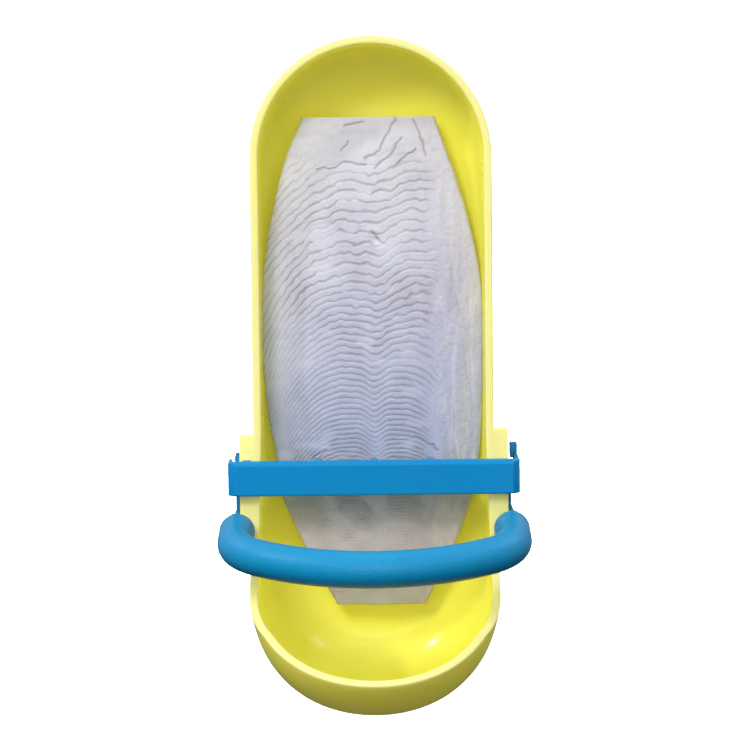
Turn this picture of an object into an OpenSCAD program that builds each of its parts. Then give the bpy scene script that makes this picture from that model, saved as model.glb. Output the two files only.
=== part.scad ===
// Cage-hung cuttlebone holder with a swing-open retaining bar, a bow perch
// and a rear clamp for cage wires.
//
// Axes: +X to the right and +Z up as it hangs, with the open front facing -Y.
// Origin: the centre of the horizontal cage wire in the rear hook.

/* [Shell] */
// Outer half width of the trough, which is also the radius of both round ends
shell_r = 31.8; // [30:0.2:34]
// Overall height of the shell
shell_h = 177; // [165:1:190]
// Wall thickness
wall = 2.1; // [1.6:0.1:2.6]
// Depth from the back to the rim
rim_depth = 26; // [24:0.5:28]
// Radius of the rounded back corners
corner_r = 19; // [16:0.5:20]
// Angle by which the catch bowl's mouth looks up from straight ahead
mouth_tilt = 49; // [44:1:54]

/* [Side flanges] */
// Half width across the two side flanges
flange_x = 35.3; // [34.8:0.1:35.3]
// Height of the flanges' lower end above the bowl's bottom
flange_z0 = 41; // [38:1:43]
// Height of the flanges' upper end above the bowl's bottom
flange_z1 = 73; // [70:0.5:76]
// Thickness of the flanges, front to back
flange_t = 3; // [2.4:0.2:3]

/* [Retaining bar] */
// Height of the bar's lower edge above the bowl's bottom
bar_z0 = 57.5; // [57:0.5:58]
// Height of the bar, edge to edge
bar_h = 9.1; // [8.6:0.1:9.4]
// Thickness of the bar's front strip
bar_t = 2.7; // [2.2:0.1:3]
// Distance between the three pressure ribs
rib_pitch = 14.9; // [13:0.1:16]
// Width of one pressure rib
rib_w = 1.8; // [1.4:0.1:2.2]
// Depth of the pressure ribs behind the strip
rib_l = 7.6; // [6:0.2:7.8]

/* [Perch] */
// Diameter of the perch
perch_d = 9.4; // [8.6:0.2:9.6]
// Distance from the perch's ends forward to the middle of its bow
perch_reach = 31; // [29:1:34]
// Radius of the bends at the perch's two corners
bend_r = 12; // [10:1:14]
// Forward slope of the perch, in degrees
perch_slope = 11.5; // [8:0.5:12]

/* [Cuttlebone] */
// Height of the cuttlebone's trimmed lower end above the bowl's bottom
bone_z0 = 26.4; // [26:0.5:28]
// Height of its trimmed upper end above the bowl's bottom
bone_z1 = 156.2; // [150:1:158]

/* [Cage clamp] */
// Diameter of the horizontal cage wire that the hook takes
wire_d = 3; // [2.5:0.1:3]
// Height of the hooked wire above the bowl's bottom
hook_z = 120; // [116:1:124]
// Height of the clamp bolt above the bowl's bottom
bolt_z = 88; // [86:1:92]
// Nominal diameter of the clamp bolt
bolt_d = 6; // [6:0.5:6.5]
// Gap that the cage wires stand in, between the back pad and the clamp plate
wire_gap = 3.2; // [2.8:0.1:3.4]

/* [Hidden] */
$fn = 72;
eps = 0.01;

lime = "#e2df45";
blue = "#1497d3";
steel = "#b9bcc0";

// Centres of the two round ends, above the bowl's bottom
bowl_z = shell_r;
hood_z = shell_h - shell_r;
// Distance from the back at which the bowl is widest
bowl_depth = shell_r + 0.4;
// Distance from the back at which the tilted mouth crosses the bowl's middle height
mouth_y = bowl_depth + 0.8;

// Rear pad, wire hook and clamp, all measured from the shell's back face
pad_t = 3;
pad_w = 20;
wire_bore_r = wire_d / 2 + 0.1;
wire_y = pad_t + wire_bore_r;
hook_w = 20;
head_t = 3;
plate_y = pad_t + wire_gap;
plate_t = 3.4;
washer_t = 1.2;
nut_y = plate_y + plate_t + washer_t;
nut_t = 7;
bolt_tip = nut_y + nut_t + 4.5;

// Bar, hinge and catch
bar_z1 = bar_z0 + bar_h;
bar_back = -rim_depth - 0.7;
bar_front = bar_back - bar_t;
bar_x = 38.3;
cheek_t = 1.05;
hinge_x = -35.2;
hinge_y = -19;
pin_r = 0.8;
knuckle_r = 1.75;
knuckle_z0 = bar_z0 + 3.6;
knuckle_z1 = bar_z0 + 7.4;
lug_z0 = bar_z0 + 0.4;
lug_z1 = bar_z0 + 9.5;

// Perch bracket
arm_x0 = 35.6;
arm_x1 = 36.9;
perch_r = perch_d / 2;
perch_x = 36.6;
bow_turn = 30;
bow_r = 2 * (perch_x - bend_r) + bend_r;
perch_end = -rim_depth - 0.5 - perch_r;
tongue_y = perch_end - 1;
perch_z = 48.6;
screw_y = -14;
screw_z = 48.8;
screw_r = 1.1;

// Cuttlebone outline: [height, left half width, right half width]
bone_rows = [
  [bone_z0, 10.6, 15.4], [40, 16.6, 19.6], [55, 22.6, 24.8], [70, 27, 27.6], [86, 28.7, 28.9],
  [102, 29.2, 29.2], [116, 28.6, 28.4], [130, 26.6, 25.6], [144, 23, 21.4], [bone_z1, 18.2, 17.4]
];

// Puts a piece drawn from the bowl's bottom and the shell's back into the hung frame
module hung() translate([0, -wire_y, -hook_z]) children();

// Cylinder along +Y from y0 to y1
module along_y(r, y0, y1) translate([0, y0, 0]) rotate([-90, 0, 0]) cylinder(r = r, h = y1 - y0);
// Cylinder along +X from x0 to x1
module along_x(r, x0, x1) translate([x0, 0, 0]) rotate([0, 90, 0]) cylinder(r = r, h = x1 - x0);

// Half section of a round-cornered tray, drawn from its axis outwards and from its back forwards
module tray_half(r, f, d) {
  square([r - f, d]);
  translate([0, f]) square([r, d - f]);
  intersection() {
    translate([r - f, f]) circle(f);
    square([r, d]);
  }
}

// Half section of the bowl: the tray closes over in front as part of a ball
module bowl_half(r, f, d) {
  tray_half(r, f, d);
  intersection() {
    translate([0, d]) circle(r);
    translate([0, d - eps]) square([r, r + eps]);
  }
}

// Half a turn of a section about an axis that runs front to back, at height z
module half_turn(z, back, up) translate([0, -back, z]) rotate([90, 0, 0])
  mirror([0, up ? 0 : 1, 0]) rotate_extrude(angle = 180) children();

// The straight trough between the round ends
module straight(r, f, d, z0, z1, back) translate([0, -back, z0]) linear_extrude(z1 - z0)
  mirror([0, 1]) {
    tray_half(r, f, d);
    mirror([1, 0]) tray_half(r, f, d);
  }

// Everything in front of the rim and of the tilted mouth, as a side outline across the whole width
module front_of_rim() {
  knee = bowl_z + (mouth_y - rim_depth) / tan(mouth_tilt);
  reach = 70;
  rotate([90, 0, 90]) translate([0, 0, -60]) linear_extrude(120) polygon([
    [-rim_depth, shell_h + 40], [-140, shell_h + 40], [-140, bowl_z - reach * cos(mouth_tilt)],
    [-mouth_y - reach * sin(mouth_tilt), bowl_z - reach * cos(mouth_tilt)], [-rim_depth, knee]]);
}

module shell_outside() {
  half_turn(hood_z, 0, true) tray_half(shell_r, corner_r, 40);
  straight(shell_r, corner_r, 40, bowl_z, hood_z, 0);
  half_turn(bowl_z, 0, false) bowl_half(shell_r, corner_r, bowl_depth);
}

module shell_inside() {
  half_turn(hood_z, wall, true) tray_half(shell_r - wall, corner_r - wall, 50);
  straight(shell_r - wall, corner_r - wall, 50, bowl_z, hood_z, wall);
  half_turn(bowl_z, wall, false) bowl_half(shell_r - wall, corner_r - wall, bowl_depth - wall);
}

module hook() difference() {
  translate([-hook_w / 2, -1, hook_z - 4]) cube([hook_w, wire_y + wire_bore_r + 2.4 + 1, 8.2]);
  translate([0, wire_y, hook_z]) along_x(wire_bore_r, -20, 20);
  translate([-20, wire_y - wire_bore_r, hook_z - 10]) cube([40, 2 * wire_bore_r, 10]);
}

module shell() color(lime) hung() difference() {
  union() {
    difference() {
      union() {
        shell_outside();
        // Side flanges that carry the bar and the perch's brackets
        for (s = [-1, 1]) translate([s < 0 ? -flange_x : shell_r - 3, -rim_depth, flange_z0])
          cube([flange_x - shell_r + 3, flange_t, flange_z1 - flange_z0]);
        // Bosses for the brackets' screws
        for (s = [-1, 1]) translate([0, screw_y, screw_z])
          along_x(3.2, s < 0 ? -arm_x0 : shell_r - 6, s < 0 ? -shell_r + 6 : arm_x0);
      }
      shell_inside();
      front_of_rim();
    }
    // Flat pad that stands against the cage wires
    translate([-pad_w / 2, -wall / 2, bolt_z - 13]) cube([pad_w, wall / 2 + pad_t, hook_z - bolt_z + 15]);
    hook();
  }
  // Hexagonal pocket and hole for the clamp bolt
  translate([0, 0, bolt_z]) {
    translate([0, -wall - 1, 0]) rotate([-90, 30, 0]) cylinder(r = 6, h = head_t + 1, $fn = 6);
    along_y(bolt_d / 2 + 0.2, -5, 10);
  }
  // Pilot holes for the brackets' screws
  for (s = [-1, 1]) translate([0, screw_y, screw_z]) along_x(screw_r, s < 0 ? -40 : 31.2, s < 0 ? -31.2 : 40);
}

// Slab with a crowned face, a domed back and trimmed ends
module cuttlebone() color("#d9d6df") hung() intersection() {
  rotate([90, 0, 0]) linear_extrude(40) polygon(concat(
    [for (p = bone_rows) [p[2], p[0]]],
    [for (i = [len(bone_rows) - 1 : -1 : 0]) [-bone_rows[i][1], bone_rows[i][0]]]));
  // Domed back that clears the trough's corners, and a face that is gently crowned both ways
  translate([0, -42.6, 0]) cylinder(r = 40, h = 200, $fn = 96);
  translate([0, 190.4, 0]) cylinder(r = 210, h = 200, $fn = 360);
  translate([-40, 231, 96]) rotate([0, 90, 0]) cylinder(r = 251, h = 80, $fn = 360);
}

module retaining_bar() color(blue) hung() difference() {
  union() {
    // Front strip
    translate([-bar_x, bar_front, bar_z0]) cube([2 * bar_x, bar_t, bar_h]);
    // Left cheek and the neck that carries the hinge knuckle
    translate([-bar_x, bar_front, bar_z0]) cube([cheek_t, -21.4 - bar_front, bar_h]);
    translate([-bar_x, -21.6, knuckle_z0]) cube([2, 21.6 + hinge_y, knuckle_z1 - knuckle_z0]);
    translate([hinge_x, hinge_y, knuckle_z0]) cylinder(r = knuckle_r, h = knuckle_z1 - knuckle_z0);
    // Right cheek with its thumb tab
    translate([bar_x - cheek_t, bar_front, bar_z0]) cube([cheek_t, -9.6 - bar_front, bar_h]);
    translate([bar_x - cheek_t - 1, -13.8, bar_z0 + 7.7]) cube([cheek_t + 1, 3.4, 4.1]);
    // Pressure ribs, and the pad that meets the left flange
    for (i = [-1, 0, 1]) translate([i * rib_pitch - rib_w / 2, bar_back - eps, bar_z0 + 0.4])
      cube([rib_w, rib_l, bar_h + 0.3]);
    translate([-34.4, bar_back - eps, bar_z0 + 0.5]) cube([2.2, 0.4, bar_h + 0.1]);
  }
  translate([hinge_x, hinge_y, 0]) cylinder(r = pin_r + 0.05, h = 100);
}

module hinge_pin() color(steel) hung() translate([hinge_x, hinge_y, 0]) {
  translate([0, 0, lug_z0 - 1.2]) cylinder(r = pin_r, h = lug_z1 - lug_z0 + 1.2);
  translate([0, 0, lug_z1]) cylinder(r = 1.45, h = 0.8);
}

// Push-on ring under the lower lug
module hinge_pin_clip() color(steel) hung() translate([hinge_x, hinge_y, lug_z0 - 0.9]) difference() {
  cylinder(r = 1.7, h = 0.5);
  translate([0, 0, -1]) cylinder(r = pin_r, h = 3);
}

// Corner bend and straight end of the perch, for one side. Each run starts just inside the one before it
// and is a hair thinner, so the joints are clean steps too small to feel
module perch_end_run(bend_y) {
  r = perch_r - 0.04;
  translate([perch_x - bend_r, bend_y, 0]) rotate([0, 0, -90.5 + bow_turn])
    rotate_extrude(angle = 91 - bow_turn) translate([bend_r, 0]) circle(perch_r - 0.02);
  translate([perch_x, bend_y, 0]) rotate([-90, 0, 0]) rotate_extrude() intersection() {
    union() {
      translate([0, -0.1]) square([r, perch_end - bend_y + 0.1]);
      translate([0, perch_end - bend_y]) circle(r);
    }
    translate([0, -0.1]) square([r, 100]);
  }
}

// Round rod: a wide bow in front, a bend at each corner and a domed end on each side
module perch() color(blue) hung() difference() {
  c = bow_r - bend_r;
  front = perch_end - perch_reach;
  bend_y = front + bow_r - c * cos(bow_turn);
  translate([0, perch_end, perch_z]) rotate([perch_slope, 0, 0]) translate([0, -perch_end, 0]) {
    translate([0, front + bow_r, 0]) rotate([0, 0, -90 - bow_turn])
      rotate_extrude(angle = 2 * bow_turn) translate([bow_r, 0]) circle(perch_r);
    for (s = [0, 1]) mirror([s, 0, 0]) perch_end_run(bend_y);
  }
  // Slots for the brackets' tongues
  for (s = [0, 1]) mirror([s, 0, 0]) translate([arm_x0, tongue_y, perch_z - 3])
    cube([arm_x1 - arm_x0, 20, 5.6]);
}

// Side plate with its tongue in the perch's end and its post behind the flange, drawn for the right side
module bracket_plate(post_w, post_top) {
  translate([arm_x0, tongue_y, perch_z - 3]) cube([arm_x1 - arm_x0, 12, 5.6]);
  translate([arm_x0, -rim_depth + 1.5, perch_z - 5]) cube([arm_x1 - arm_x0, rim_depth - 9.5, 9]);
  translate([33.6, hinge_y + 3.6, perch_z + 4 - eps]) cube([post_w, 6.4, post_top - perch_z - 4]);
}

module left_bracket() color(blue) hung() difference() {
  union() {
    mirror([1, 0, 0]) bracket_plate(3.3, lug_z1);
    // Hinge lugs
    for (z = [[lug_z0, knuckle_z0 - 0.2], [knuckle_z1 + 0.2, lug_z1]]) translate([hinge_x, hinge_y, z[0]]) {
      cylinder(r = knuckle_r - 0.05, h = z[1] - z[0]);
      translate([-1.7, 0, 0]) cube([3.3, 4, z[1] - z[0]]);
    }
  }
  translate([hinge_x, hinge_y, bar_z0 - 5]) cylinder(r = pin_r, h = 30);
  translate([0, screw_y, screw_z]) along_x(screw_r + 0.2, -60, -20);
}

module right_bracket() color(blue) hung() difference() {
  union() {
    bracket_plate(3, bar_z0 + 7);
    // Catch nub that the bar's cheek snaps over
    translate([36.6, hinge_y + 6.4, bar_z0 + 4.5]) sphere(0.35);
  }
  translate([0, screw_y, screw_z]) along_x(screw_r + 0.2, 20, 60);
}

// Two self-tapping screws with cross recesses, one on each side
module perch_screws() color(steel) hung() for (s = [-1, 1]) mirror([s < 0 ? 1 : 0, 0, 0])
  translate([0, screw_y, screw_z]) difference() {
    union() {
      along_x(screw_r, 31.6, arm_x1 + 0.5);
      along_x(2.3, arm_x1, arm_x1 + 1.3);
    }
    for (a = [0, 90]) rotate([a, 0, 0]) translate([arm_x1 + 0.6, -1.5, -0.3]) cube([2, 3, 0.6]);
  }

// Hexagon-headed bolt, its head let into the shell from the inside
module clamp_bolt() color(steel) hung() translate([0, 0, bolt_z]) difference() {
  union() {
    translate([0, -wall, 0]) rotate([-90, 30, 0]) cylinder(r = 5.8, h = head_t, $fn = 6);
    along_y(bolt_d / 2, 0, bolt_tip - 1);
    translate([0, bolt_tip - 1, 0]) rotate([-90, 0, 0]) cylinder(r1 = bolt_d / 2, r2 = bolt_d / 2 - 1, h = 1);
  }
}

// Cross plate that grips the wires against the pad, with shallow wire grooves
module clamp_plate() color(blue) hung() translate([0, 0, bolt_z]) difference() {
  union() {
    translate([-15, plate_y, -8]) cube([30, plate_t, 16]);
    for (s = [-1, 1]) translate([s * 15, 0, 0]) along_y(8, plate_y, plate_y + plate_t);
  }
  along_y(bolt_d / 2 + 0.3, 0, 30);
  for (x = [-18, -12, -6, 6, 12, 18]) translate([x, plate_y - 0.5, -10]) cylinder(r = 1.1, h = 20, $fn = 24);
}

module clamp_washer() color(steel) hung() translate([0, 0, bolt_z]) difference() {
  along_y(7, plate_y + plate_t, nut_y);
  along_y(bolt_d / 2 + 0.2, 0, 30);
}

// Nut with two thumb wings
module wing_nut() color(lime) hung() translate([0, 0, bolt_z]) difference() {
  union() {
    along_y(6, nut_y, nut_y + nut_t);
    for (s = [-1, 1]) intersection() {
      translate([s < 0 ? -15.5 : 3, nut_y + 1.5, -1.4]) cube([12.5, 10, 2.8]);
      translate([s * 9.5, nut_y + 6, 0]) rotate([90, 0, 0]) translate([0, 0, -20]) cylinder(r = 30, h = 40);
      translate([s * 9, nut_y + 5.5, 0]) translate([0, 0, -2]) cylinder(r = 6.6, h = 4);
    }
  }
  along_y(bolt_d / 2 + 0.05, 0, 40);
}

shell();
cuttlebone();
retaining_bar();
hinge_pin();
hinge_pin_clip();
left_bracket();
right_bracket();
perch();
perch_screws();
clamp_bolt();
clamp_plate();
clamp_washer();
wing_nut();
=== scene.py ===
import math
import bpy
import bmesh
import numpy as np
from mathutils import Vector, Matrix, noise


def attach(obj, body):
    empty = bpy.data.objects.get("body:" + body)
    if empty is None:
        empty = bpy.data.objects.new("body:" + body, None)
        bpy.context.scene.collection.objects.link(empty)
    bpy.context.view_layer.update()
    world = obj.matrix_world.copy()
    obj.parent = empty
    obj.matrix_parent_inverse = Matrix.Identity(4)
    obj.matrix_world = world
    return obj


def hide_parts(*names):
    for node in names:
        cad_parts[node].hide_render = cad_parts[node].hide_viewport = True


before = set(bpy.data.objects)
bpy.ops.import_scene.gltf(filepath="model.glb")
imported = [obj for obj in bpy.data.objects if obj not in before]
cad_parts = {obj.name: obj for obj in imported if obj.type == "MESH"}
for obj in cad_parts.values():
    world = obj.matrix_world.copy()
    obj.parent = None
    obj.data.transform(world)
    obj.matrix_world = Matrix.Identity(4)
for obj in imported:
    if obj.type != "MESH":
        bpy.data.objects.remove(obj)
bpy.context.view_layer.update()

scene = bpy.context.scene
scene.view_settings.view_transform = "Standard"
scene.view_settings.look = "None"

MM = 0.001
# The holder is described from the bowl's bottom (z = 0) and the shell's back (y = 0), in millimetres.
Z0 = -120.0                               # bowl bottom, in the row frame
Y0 = -4.6                                 # shell's back face, in the row frame


def row(x, y, z):
    return (x * MM, (y + Y0) * MM, (z + Z0) * MM)


# ---------------------------------------------------------------- camera
ELEV, ROLL, DIST = math.radians(5.0), math.radians(0.62), 0.70
target = Vector(row(0.55, -20.0, 88.3))
cam_data = bpy.data.cameras.new("camera")
cam_data.lens, cam_data.sensor_width = 127.3, 36.0
cam_data.clip_start, cam_data.clip_end = 0.05, 20.0
cam = bpy.data.objects.new("camera", cam_data)
scene.collection.objects.link(cam)
cam.location = target + DIST * Vector((0, -math.cos(ELEV), math.sin(ELEV)))
look = (target - cam.location).to_track_quat("-Z", "Y").to_matrix().to_4x4()
cam.matrix_world = Matrix.Translation(cam.location) @ look @ Matrix.Rotation(-ROLL, 4, "Z")
scene.camera = cam


# ---------------------------------------------------------------- helpers
def link(obj):
    scene.collection.objects.link(obj)
    return obj


def mesh_object(name, verts, faces, to_row=True):
    me = bpy.data.meshes.new(name)
    if to_row:
        verts = [row(*v) for v in verts]
    me.from_pydata(verts, [], faces)
    me.validate()
    me.update()
    return link(bpy.data.objects.new(name, me))


def apply_modifiers(obj):
    dg = bpy.context.evaluated_depsgraph_get()
    me = bpy.data.meshes.new_from_object(obj.evaluated_get(dg))
    obj.modifiers.clear()
    old = obj.data
    obj.data = me
    bpy.data.meshes.remove(old)
    return obj


def smooth(obj, angle=35):
    me = obj.data
    me.polygons.foreach_set("use_smooth", [True] * len(me.polygons))
    me.set_sharp_from_angle(angle=math.radians(angle))
    me.update()
    return obj


def flat_sides(obj):
    """Shades the faces that lie square to an axis flat, beside their rounded edges."""
    for p in obj.data.polygons:
        if max(abs(c) for c in p.normal) > 0.99995:
            p.use_smooth = False
    obj.data.update()
    return obj


def clean(obj, dist=2e-6):
    bm = bmesh.new()
    bm.from_mesh(obj.data)
    bmesh.ops.remove_doubles(bm, verts=bm.verts, dist=dist)
    bmesh.ops.dissolve_degenerate(bm, edges=bm.edges, dist=dist)
    bmesh.ops.recalc_face_normals(bm, faces=bm.faces)
    bm.to_mesh(obj.data)
    bm.free()
    obj.data.update()
    return obj


def bevel(obj, width, segments=3, angle=30):
    m = obj.modifiers.new("bevel", "BEVEL")
    m.width, m.segments, m.limit_method, m.angle_limit = width * MM, segments, "ANGLE", math.radians(angle)
    m.harden_normals = False
    return apply_modifiers(obj)


def rbox(name, x0, x1, y0, y1, z0, z1, r=0.3, segments=3):
    v = [(x, y, z) for x in (x0, x1) for y in (y0, y1) for z in (z0, z1)]
    f = [(0, 1, 3, 2), (4, 6, 7, 5), (0, 4, 5, 1), (2, 3, 7, 6), (0, 2, 6, 4), (1, 5, 7, 3)]
    o = mesh_object(name, v, f)
    clean(o)
    return bevel(o, r, segments) if r else o


def prism(name, points, axis, a, b, r=0.25, segments=3, angle=30):
    """A 2D outline, drawn across the other two axes in order, run along axis from a to b."""
    def at(p, t):
        return {"x": (t, p[0], p[1]), "y": (p[0], t, p[1]), "z": (p[0], p[1], t)}[axis]
    n = len(points)
    v = [at(p, a) for p in points] + [at(p, b) for p in points]
    f = [tuple(range(n)), tuple(range(2 * n - 1, n - 1, -1))]
    f += [(i, i + n, (i + 1) % n + n, (i + 1) % n) for i in range(n)]
    o = mesh_object(name, v, f)
    clean(o)
    return bevel(o, r, segments, angle) if r else o


def rod(name, c, r, axis, a, b, segs=48, round_=0.2, r2=None):
    """A cylinder about a line through c along axis, with rounded ends."""
    steps = 4
    prof = [(0.0, a)] + [(r - round_ + round_ * math.sin(t), a + round_ - round_ * math.cos(t))
                         for t in [math.pi / 2 * i / steps for i in range(steps + 1)]]
    r_end = r if r2 is None else r2
    prof += [(r_end - round_ + round_ * math.cos(t), b - round_ + round_ * math.sin(t))
             for t in [math.pi / 2 * i / steps for i in range(steps + 1)]] + [(0.0, b)]
    return lathe(name, prof, c, axis, segs)


def lathe(name, prof, c, axis, segs=64):
    """Turns (radius, position) pairs about a line through c along axis."""
    v, f = [], []
    n = len(prof)
    for j in range(segs):
        t = 2 * math.pi * j / segs
        for r, h in prof:
            u, w = r * math.cos(t), r * math.sin(t)
            v.append({"x": (h, c[0] + u, c[1] + w), "y": (c[0] + u, h, c[1] + w), "z": (c[0] + u, c[1] + w, h)}[axis])
    for j in range(segs):
        k = (j + 1) % segs
        for i in range(n - 1):
            f.append((j * n + i, j * n + i + 1, k * n + i + 1, k * n + i))
    o = mesh_object(name, v, f)
    return clean(o)


def boolean(obj, others, op="UNION"):
    for other in others:
        m = obj.modifiers.new("b", "BOOLEAN")
        m.operation, m.solver, m.object = op, "EXACT", other
        apply_modifiers(obj)
        bpy.data.objects.remove(other)
    return obj


# ---------------------------------------------------------------- shell
WALL, F, RIM, TILT = 2.1, 19.0, 26.0, math.radians(49)
BOWL_Z, HOOD_Z, BALL_H, BALL_D, MOUTH = 33.25, 145.5, 32.2, 33.6, 35.0


def smoothstep(a, b, x):
    t = min(max((x - a) / (b - a), 0.0), 1.0)
    return t * t * (3 - 2 * t)


def outer_r(z):
    """The trough is a touch wider at the bowl than at the hood."""
    return 32.75 - 1.15 * smoothstep(30.0, 78.0, z)


def rim_h(z):
    """Depth of the rim at a height: the flat rim, or the tilted mouth below the knee."""
    a, b = RIM, MOUTH + (BOWL_Z - z) * math.tan(TILT)
    k = 1.2
    return (a + b + math.sqrt((a - b) ** 2 + k * k)) / 2 - (k * k) / (4 * (abs(a - b) + k)) * 0.5


def wall_path(cz, dx, dz, big, inset):
    """Points (radius, depth) from the middle of the back out along one face of the wall to the rim."""
    f, h0 = F - inset, inset
    pts = []
    n = 14
    for i in range(n):
        pts.append(((big - f) * i / n, h0))
    n = 26
    for i in range(n + 1):
        t = math.pi / 2 * i / n
        pts.append((big - f + f * math.sin(t), h0 + f - f * math.cos(t)))
    h = h0 + f
    # forward along the wall, closing in as a ball past BALL_H, until the rim is met
    step = 0.25
    def r_at(h):
        if dz >= 0 or h <= BALL_H:
            return big
        w = -dz
        full = big * math.sqrt(max(1.0 - ((h - BALL_H) / (BALL_D - inset)) ** 2, 0.0))
        return big + (full - big) * min(1.0, w * 3.0) if w < 0.34 else full
    run = []
    while True:
        r = r_at(h)
        if h >= rim_h(cz + r * dz):
            break
        run.append((r, h))
        h += step
        if h > 75:
            break
    lo, hi = h - step, h
    for _ in range(30):
        m = (lo + hi) / 2
        if m >= rim_h(cz + r_at(m) * dz):
            hi = m
        else:
            lo = m
    end = (r_at(hi), hi)
    run.append(end)
    pts += run[1:]
    return pts


def resample(pts, n):
    d = [0.0]
    for a, b in zip(pts, pts[1:]):
        d.append(d[-1] + math.dist(a, b))
    out, k = [], 0
    for i in range(n):
        s = d[-1] * i / (n - 1)
        while k < len(d) - 2 and d[k + 1] < s:
            k += 1
        seg = d[k + 1] - d[k] or 1e-9
        t = (s - d[k]) / seg
        out.append(tuple(pts[k][j] + (pts[k + 1][j] - pts[k][j]) * t for j in (0, 1)))
    return out


def trim(pts, length):
    """Drops length from the end of a path."""
    left = length
    pts = list(pts)
    while len(pts) > 1:
        seg = math.dist(pts[-1], pts[-2])
        if seg > left:
            t = left / seg
            a, b = pts[-1], pts[-2]
            pts[-1] = tuple(a[j] + (b[j] - a[j]) * t for j in (0, 1))
            return pts
        left -= seg
        pts.pop()
    return pts


def bez(a, c, b, n):
    return [tuple((1 - t) ** 2 * a[j] + 2 * t * (1 - t) * c[j] + t * t * b[j] for j in (0, 1))
            for t in [i / n for i in range(1, n)]]


def toward(a, b, d):
    length = math.dist(a, b) or 1e-9
    return tuple(a[j] + (b[j] - a[j]) * d / length for j in (0, 1))


def build_shell():
    stations = []
    na, ns = 84, 76
    for i in range(na):                                   # round the bowl, from left to right
        t = math.pi + math.pi * i / na
        stations.append((BOWL_Z, math.cos(t), math.sin(t)))
    for i in range(ns):                                   # right side, upwards
        t = i / ns
        stations.append((BOWL_Z + (HOOD_Z - BOWL_Z) * t, 1.0, 0.0))
    for i in range(na):                                   # over the hood
        t = math.pi * i / na
        stations.append((HOOD_Z, math.cos(t), math.sin(t)))
    for i in range(ns):                                   # left side, downwards
        t = i / ns
        stations.append((HOOD_Z + (BOWL_Z - HOOD_Z) * t, -1.0, 0.0))
    e_o, e_i, N = 0.55, 0.5, 58
    rings = []
    for cz, dx, dz in stations:
        big = outer_r(cz)
        if dz < 0:                                        # the bowl's outline is a little fuller than a half circle
            big *= 1 + 0.022 * (2 * dx * dz) ** 2
        o_path = wall_path(cz, dx, dz, big, 0.0)
        i_path = wall_path(cz, dx, dz, big - WALL, WALL)
        po, pi = o_path[-1], i_path[-1]
        o_path, i_path = trim(o_path, e_o), trim(i_path, e_i)
        a, b = toward(po, pi, e_o), toward(pi, po, e_i)
        corner = bez(o_path[-1], po, a, 5) + [a] + [b] + bez(b, pi, i_path[-1], 5)
        prof = resample(o_path, N) + corner + list(reversed(resample(i_path, N)))
        rings.append([(r * dx, -h, cz + r * dz) for r, h in prof])
    n = len(rings[0])
    verts = [p for ring in rings for p in ring]
    faces = []
    m = len(rings)
    for j in range(m):
        k = (j + 1) % m
        for i in range(n - 1):
            faces.append((j * n + i, k * n + i, k * n + i + 1, j * n + i + 1))
    o = mesh_object("shell_moulding", verts, faces)
    bm = bmesh.new()
    bm.from_mesh(o.data)
    bmesh.ops.remove_doubles(bm, verts=bm.verts, dist=2e-5)
    bmesh.ops.dissolve_degenerate(bm, edges=bm.edges, dist=1e-6)
    bmesh.ops.recalc_face_normals(bm, faces=bm.faces)
    bm.to_mesh(o.data)
    bm.free()
    return o


shell = build_shell()
parts = []
for s in (-1, 1):
    a, b = sorted((s * 30.9, s * 35.3))
    parts.append(rbox("flange", a, b, -25.97, -23.0, 41.0, 73.2 + 0.6 * (s + 1), 0.35, 3))
    parts.append(rod("boss", (-14.0, 48.8), 3.2, "x", *sorted((s * 30.4, s * 35.6)), segs=40, round_=0.15))
parts.append(rbox("pad", -10, 10, -1.0, 3.0, 75, 122, 0.6, 3))
hook_pts = [(0.4, 116.0), (0.4, 124.2), (8.6, 124.2), (8.6, 116.0), (6.2, 116.0)]
hook_pts += [(4.6 + 1.6 * math.cos(t), 120 + 1.6 * math.sin(t)) for t in [math.pi * i / 24 for i in range(25)]]
hook_pts += [(3.0, 116.0)]
parts.append(prism("hook", hook_pts, "x", -10, 10, 0.35, 3, 40))
boolean(shell, parts)
cuts = [rod("hole", (0, 88), 3.2, "y", -6, 10, segs=48, round_=0.0)]
pocket = [(6 * math.cos(math.radians(30 + 60 * i)), 88 + 6 * math.sin(math.radians(30 + 60 * i))) for i in range(6)]
cuts.append(prism("pocket", pocket, "y", -6, 0.9, 0))
for s in (-1, 1):
    cuts.append(rod("pilot", (-14.0, 48.8), 1.1, "x", *sorted((s * 31.0, s * 40)), segs=24, round_=0.0))
boolean(shell, cuts, "DIFFERENCE")
smooth(shell, 30)
# painted highlight mask for the rim: 1 at the rim's free edge, fading out within about a millimetre behind it
co = np.empty(len(shell.data.vertices) * 3)
shell.data.vertices.foreach_get("co", co)
co = co.reshape(-1, 3) / MM
past = np.array([rim_h(z - Z0) + (y - Y0) for y, z in co[:, 1:]])      # how far behind the rim
at = shell.data.attributes.new("rim_light", "FLOAT", "POINT")
at.data.foreach_set("value", np.exp(-np.clip(past - 0.3, 0, None) / 0.9).astype(np.float32))
shell.name = "shell_moulding"
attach(shell, "holder")
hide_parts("shell")


# ---------------------------------------------------------------- cuttlebone
rng = np.random.RandomState(7)
B0, B1 = 25.2, 156.2
rows = np.array([[25.2, 10.4, 13.9], [33, 14.5, 17.6], [40, 18.1, 20.9], [48, 21.9, 24.0], [57, 25.2, 26.9], [66, 26.0, 28.0],
                 [76, 27.8, 28.9], [86, 28.8, 29.15], [100, 29.15, 29.2], [112, 28.9, 28.9], [124, 27.6, 27.0],
                 [136, 25.2, 23.9], [146, 22.4, 20.6], [156.2, 18.3, 17.2]])


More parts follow.
